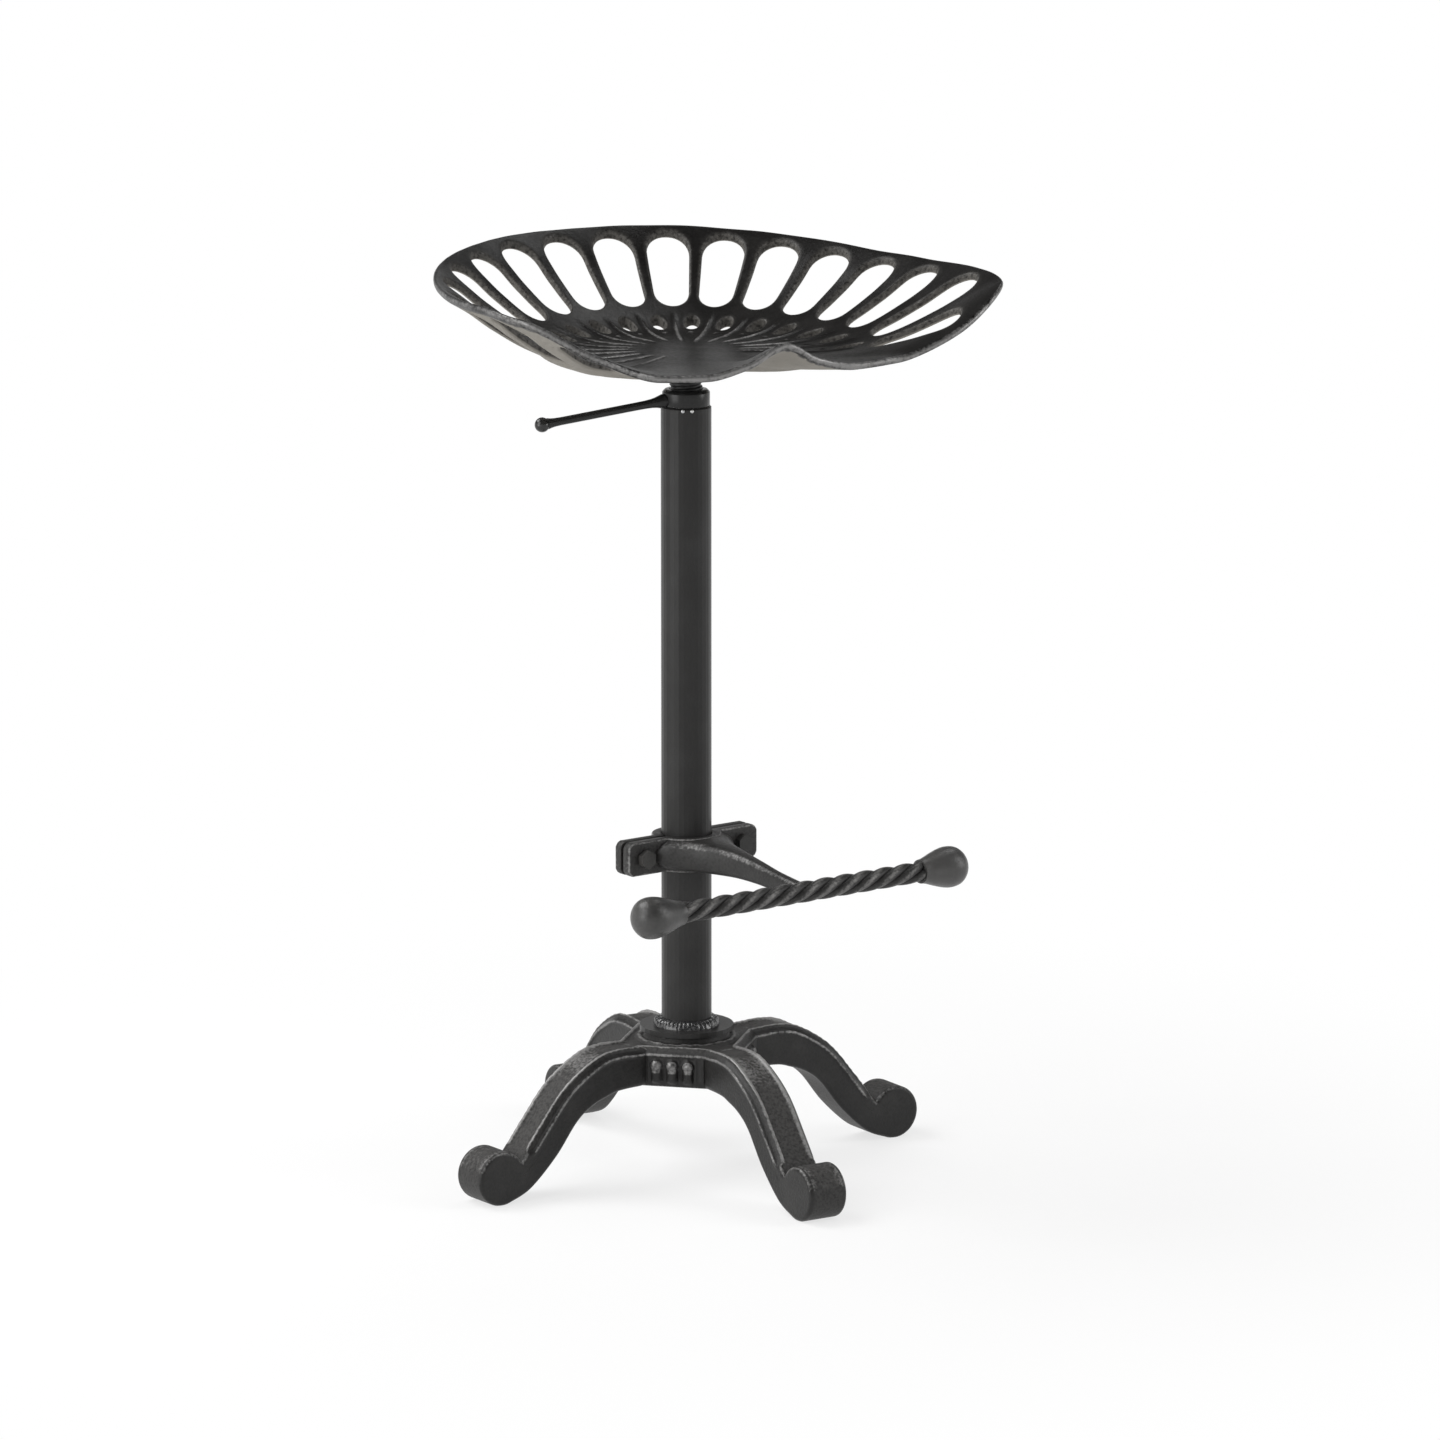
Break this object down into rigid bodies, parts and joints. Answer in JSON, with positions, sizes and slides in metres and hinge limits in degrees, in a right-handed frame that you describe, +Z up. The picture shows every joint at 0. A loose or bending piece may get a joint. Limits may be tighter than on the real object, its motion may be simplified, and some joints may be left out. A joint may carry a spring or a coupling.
{
  "type": "tractor seat stool",
  "caption": "Stool with a slotted cast-metal tractor seat on a screw spindle with a lever lock, a round column, a twisted footrest bar and a four-footed scroll base.",
  "frame": {"origin": "on the floor under the column's axis, which is the centre of the feet", "axes": "+Z up along the column, the seat's front and the footrest towards -Y, +X to the left of a person who sits on it, who faces -Y"},
  "size_m": [0.4382, 0.4222, 0.732],
  "materials": {
    "cast_iron": "black painted rough casting, edges worn to dark grey",
    "black_steel": "satin black",
    "weld": "glossy black over a weld bead",
    "zinc_steel": "zinc plated",
    "nylon": "matte",
    "black_plastic": "gloss"
  },
  "bodies": {
    "base": {"base_casting": "cast_iron", "column_flange": "black_steel", "column_weld": "weld", "column_plug": "black_steel", "column_tube": "black_steel", "base_bolt": "zinc_steel", "base_washer": "zinc_steel", "column_nut": "zinc_steel"},
    "lock": {"lock_ring": "black_steel", "lever_rod": "black_steel", "lever_ball": "black_plastic"},
    "guide": {"guide_bush": "nylon"},
    "seat": {"spindle": "black_steel", "guide_washer": "zinc_steel", "guide_screw": "zinc_steel", "seat_plate": "black_steel", "seat_pan": "cast_iron", "seat_screw_1": "zinc_steel", "seat_screw_2": "zinc_steel", "seat_screw_3": "zinc_steel", "seat_screw_4": "zinc_steel"},
    "footrest": {"footrest_arm": "cast_iron", "clamp_rear": "cast_iron", "footrest_bar": "cast_iron", "footrest_knob_left": "cast_iron", "footrest_knob_right": "cast_iron", "clamp_bolt_left": "black_steel", "clamp_nut_left": "black_steel", "clamp_bolt_right": "black_steel", "clamp_nut_right": "black_steel"}
  },
  "joints": [
    {"name": "seat_lift", "type": "slide", "parent": "base", "child": "guide", "axis": [0, 0, 1], "range_m": [0, 0.16]},
    {"name": "seat_turn", "type": "hinge", "parent": "guide", "child": "seat", "pos_m": [0, 0, 0.635], "axis": [0, 0, 1], "range_deg": [0, 11520]},
    {"name": "lock_turn", "type": "hinge", "parent": "base", "child": "lock", "pos_m": [0, 0, 0.6218], "axis": [0, 0, 1], "range_deg": [0, 40]},
    {"name": "footrest_slide", "type": "slide", "parent": "base", "child": "footrest", "axis": [0, 0, 1], "range_m": [-0.1, 0.3]}
  ],
  "couplings": [
    {"joint": "seat_lift", "follows": "seat_turn", "m_per_rad": 0.00079577}
  ]
}
